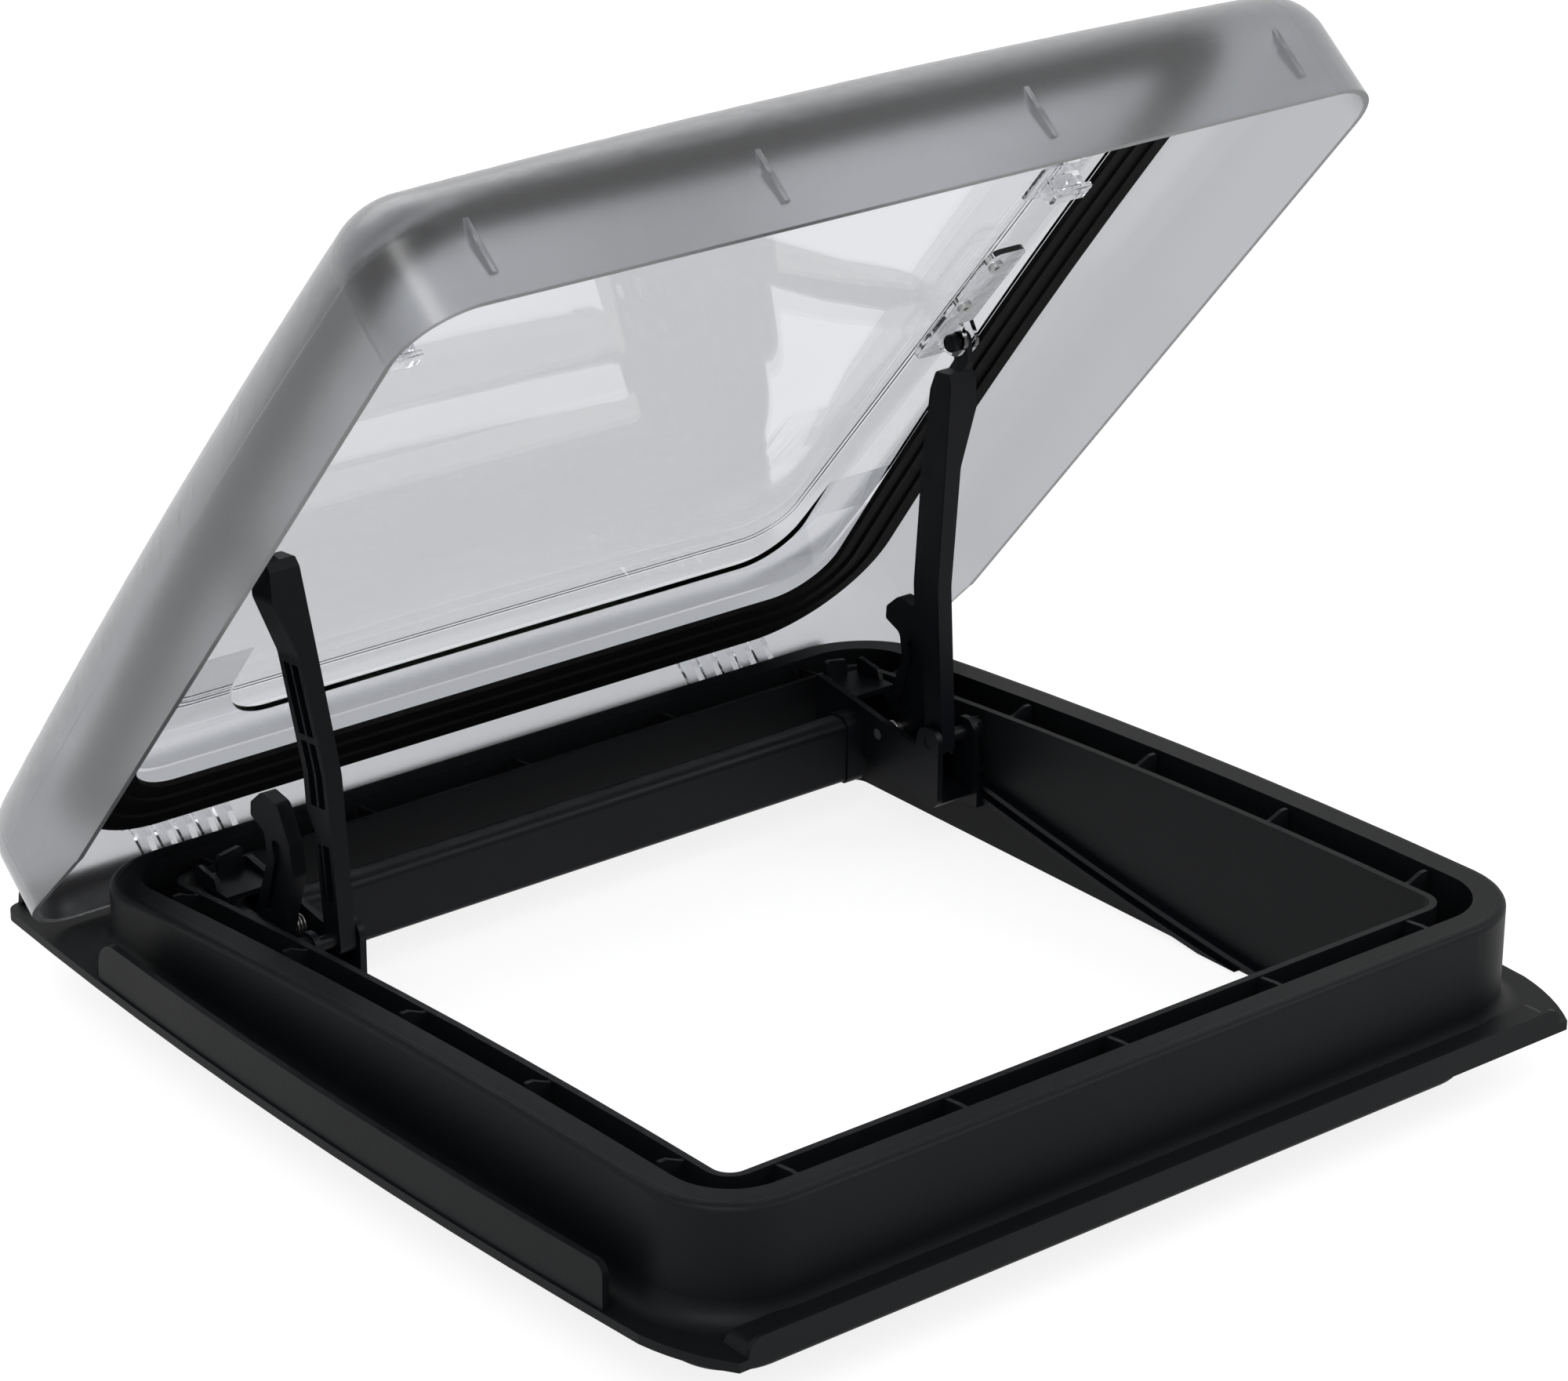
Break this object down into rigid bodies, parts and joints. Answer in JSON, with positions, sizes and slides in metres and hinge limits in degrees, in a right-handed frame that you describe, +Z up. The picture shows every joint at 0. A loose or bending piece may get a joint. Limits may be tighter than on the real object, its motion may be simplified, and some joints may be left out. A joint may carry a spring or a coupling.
{
  "type": "deck hatch",
  "caption": "Framed deck or roof hatch with a tinted double-skin lid on rear hinges, two folding arms, a sliding handle bow on side rails and hook catches.",
  "frame": {"origin": "centre of the opening, level with the underside of the frame, which is also the centre of the four screw bosses", "axes": "+X along the lid's hinge, +Y towards the hinge side, +Z up"},
  "size_m": [0.472, 0.4795, 0.4101],
  "materials": {
    "black_plastic": "moulded black plastic with a fine matt grain",
    "black_nylon": "glass-filled black nylon, slightly satin",
    "smoke_acrylic": "smoke-tinted translucent acrylic",
    "clear_acrylic": "clear acrylic",
    "seal_rubber": "soft black seal rubber",
    "pin_steel": "plain stainless steel",
    "screw_steel": "zinc-plated steel screw"
  },
  "bodies": {
    "frame": {"outer_frame": "black_plastic", "inner_frame": "black_plastic", "guide_rail_left": "black_plastic", "guide_rail_right": "black_plastic", "hinge_pin_left": "pin_steel", "hinge_pin_right": "pin_steel"},
    "lid": {"outer_dome": "smoke_acrylic", "inner_pane": "clear_acrylic", "lid_gasket": "seal_rubber", "lid_hinge_left": "clear_acrylic", "lid_hinge_right": "clear_acrylic", "lid_bracket_left": "clear_acrylic", "lid_bracket_right": "clear_acrylic", "bracket_screws": "screw_steel", "lid_catch_left": "clear_acrylic", "lid_catch_right": "clear_acrylic", "arm_pin_left": "black_nylon", "arm_pin_right": "black_nylon"},
    "arm_left": {"arm_left": "black_nylon"},
    "arm_right": {"arm_right": "black_nylon"},
    "bow": {"handle_bar": "black_nylon", "carriage_plate_left": "black_nylon", "carriage_plate_right": "black_nylon", "foot_pin_left": "black_nylon", "foot_pin_right": "black_nylon", "bar_end_cap_left": "black_nylon", "bar_end_cap_right": "black_nylon", "slide_shoe_left": "black_nylon", "slide_shoe_right": "black_nylon", "hook_pin_left": "pin_steel", "hook_pin_right": "pin_steel", "hook_spring_left": "pin_steel", "hook_spring_right": "pin_steel"},
    "hook_left": {"hook_lever_left": "black_nylon"},
    "hook_right": {"hook_lever_right": "black_nylon"}
  },
  "joints": [
    {"name": "lid_hinge", "type": "hinge", "parent": "frame", "child": "lid", "pos_m": [0, 0.2214, 0.0408], "axis": [1, 0, 0], "range_deg": [0, 50.2]},
    {"name": "arm_right_fold", "type": "hinge", "parent": "lid", "child": "arm_right", "pos_m": [0, 0.1108, 0.2299], "axis": [1, 0, 0], "range_deg": [-118.17, 0]},
    {"name": "arm_left_fold", "type": "hinge", "parent": "lid", "child": "arm_left", "pos_m": [0, 0.1108, 0.2299], "axis": [1, 0, 0], "range_deg": [-118.17, 0]},
    {"name": "bow_slide", "type": "hinge", "parent": "arm_right", "child": "bow", "pos_m": [0, 0.0954, 0.0551], "axis": [1, 0, 0], "range_deg": [0, 67.97]},
    {"name": "hook_right_trip", "type": "hinge", "parent": "bow", "child": "hook_right", "pos_m": [0, 0.13, 0.047], "axis": [1, 0, 0], "range_deg": [0, 12], "stiffness_Nm_per_rad": 0.15, "springref_deg": -14.32},
    {"name": "hook_left_trip", "type": "hinge", "parent": "bow", "child": "hook_left", "pos_m": [0, 0.13, 0.047], "axis": [1, 0, 0], "range_deg": [0, 12], "stiffness_Nm_per_rad": 0.15, "springref_deg": -14.32}
  ],
  "couplings": [
    {"joint": "arm_right_fold", "follows": "lid_hinge", "ratio": -2.35},
    {"joint": "arm_left_fold", "follows": "lid_hinge", "ratio": -2.35},
    {"joint": "bow_slide", "follows": "lid_hinge", "ratio": 1.35}
  ]
}
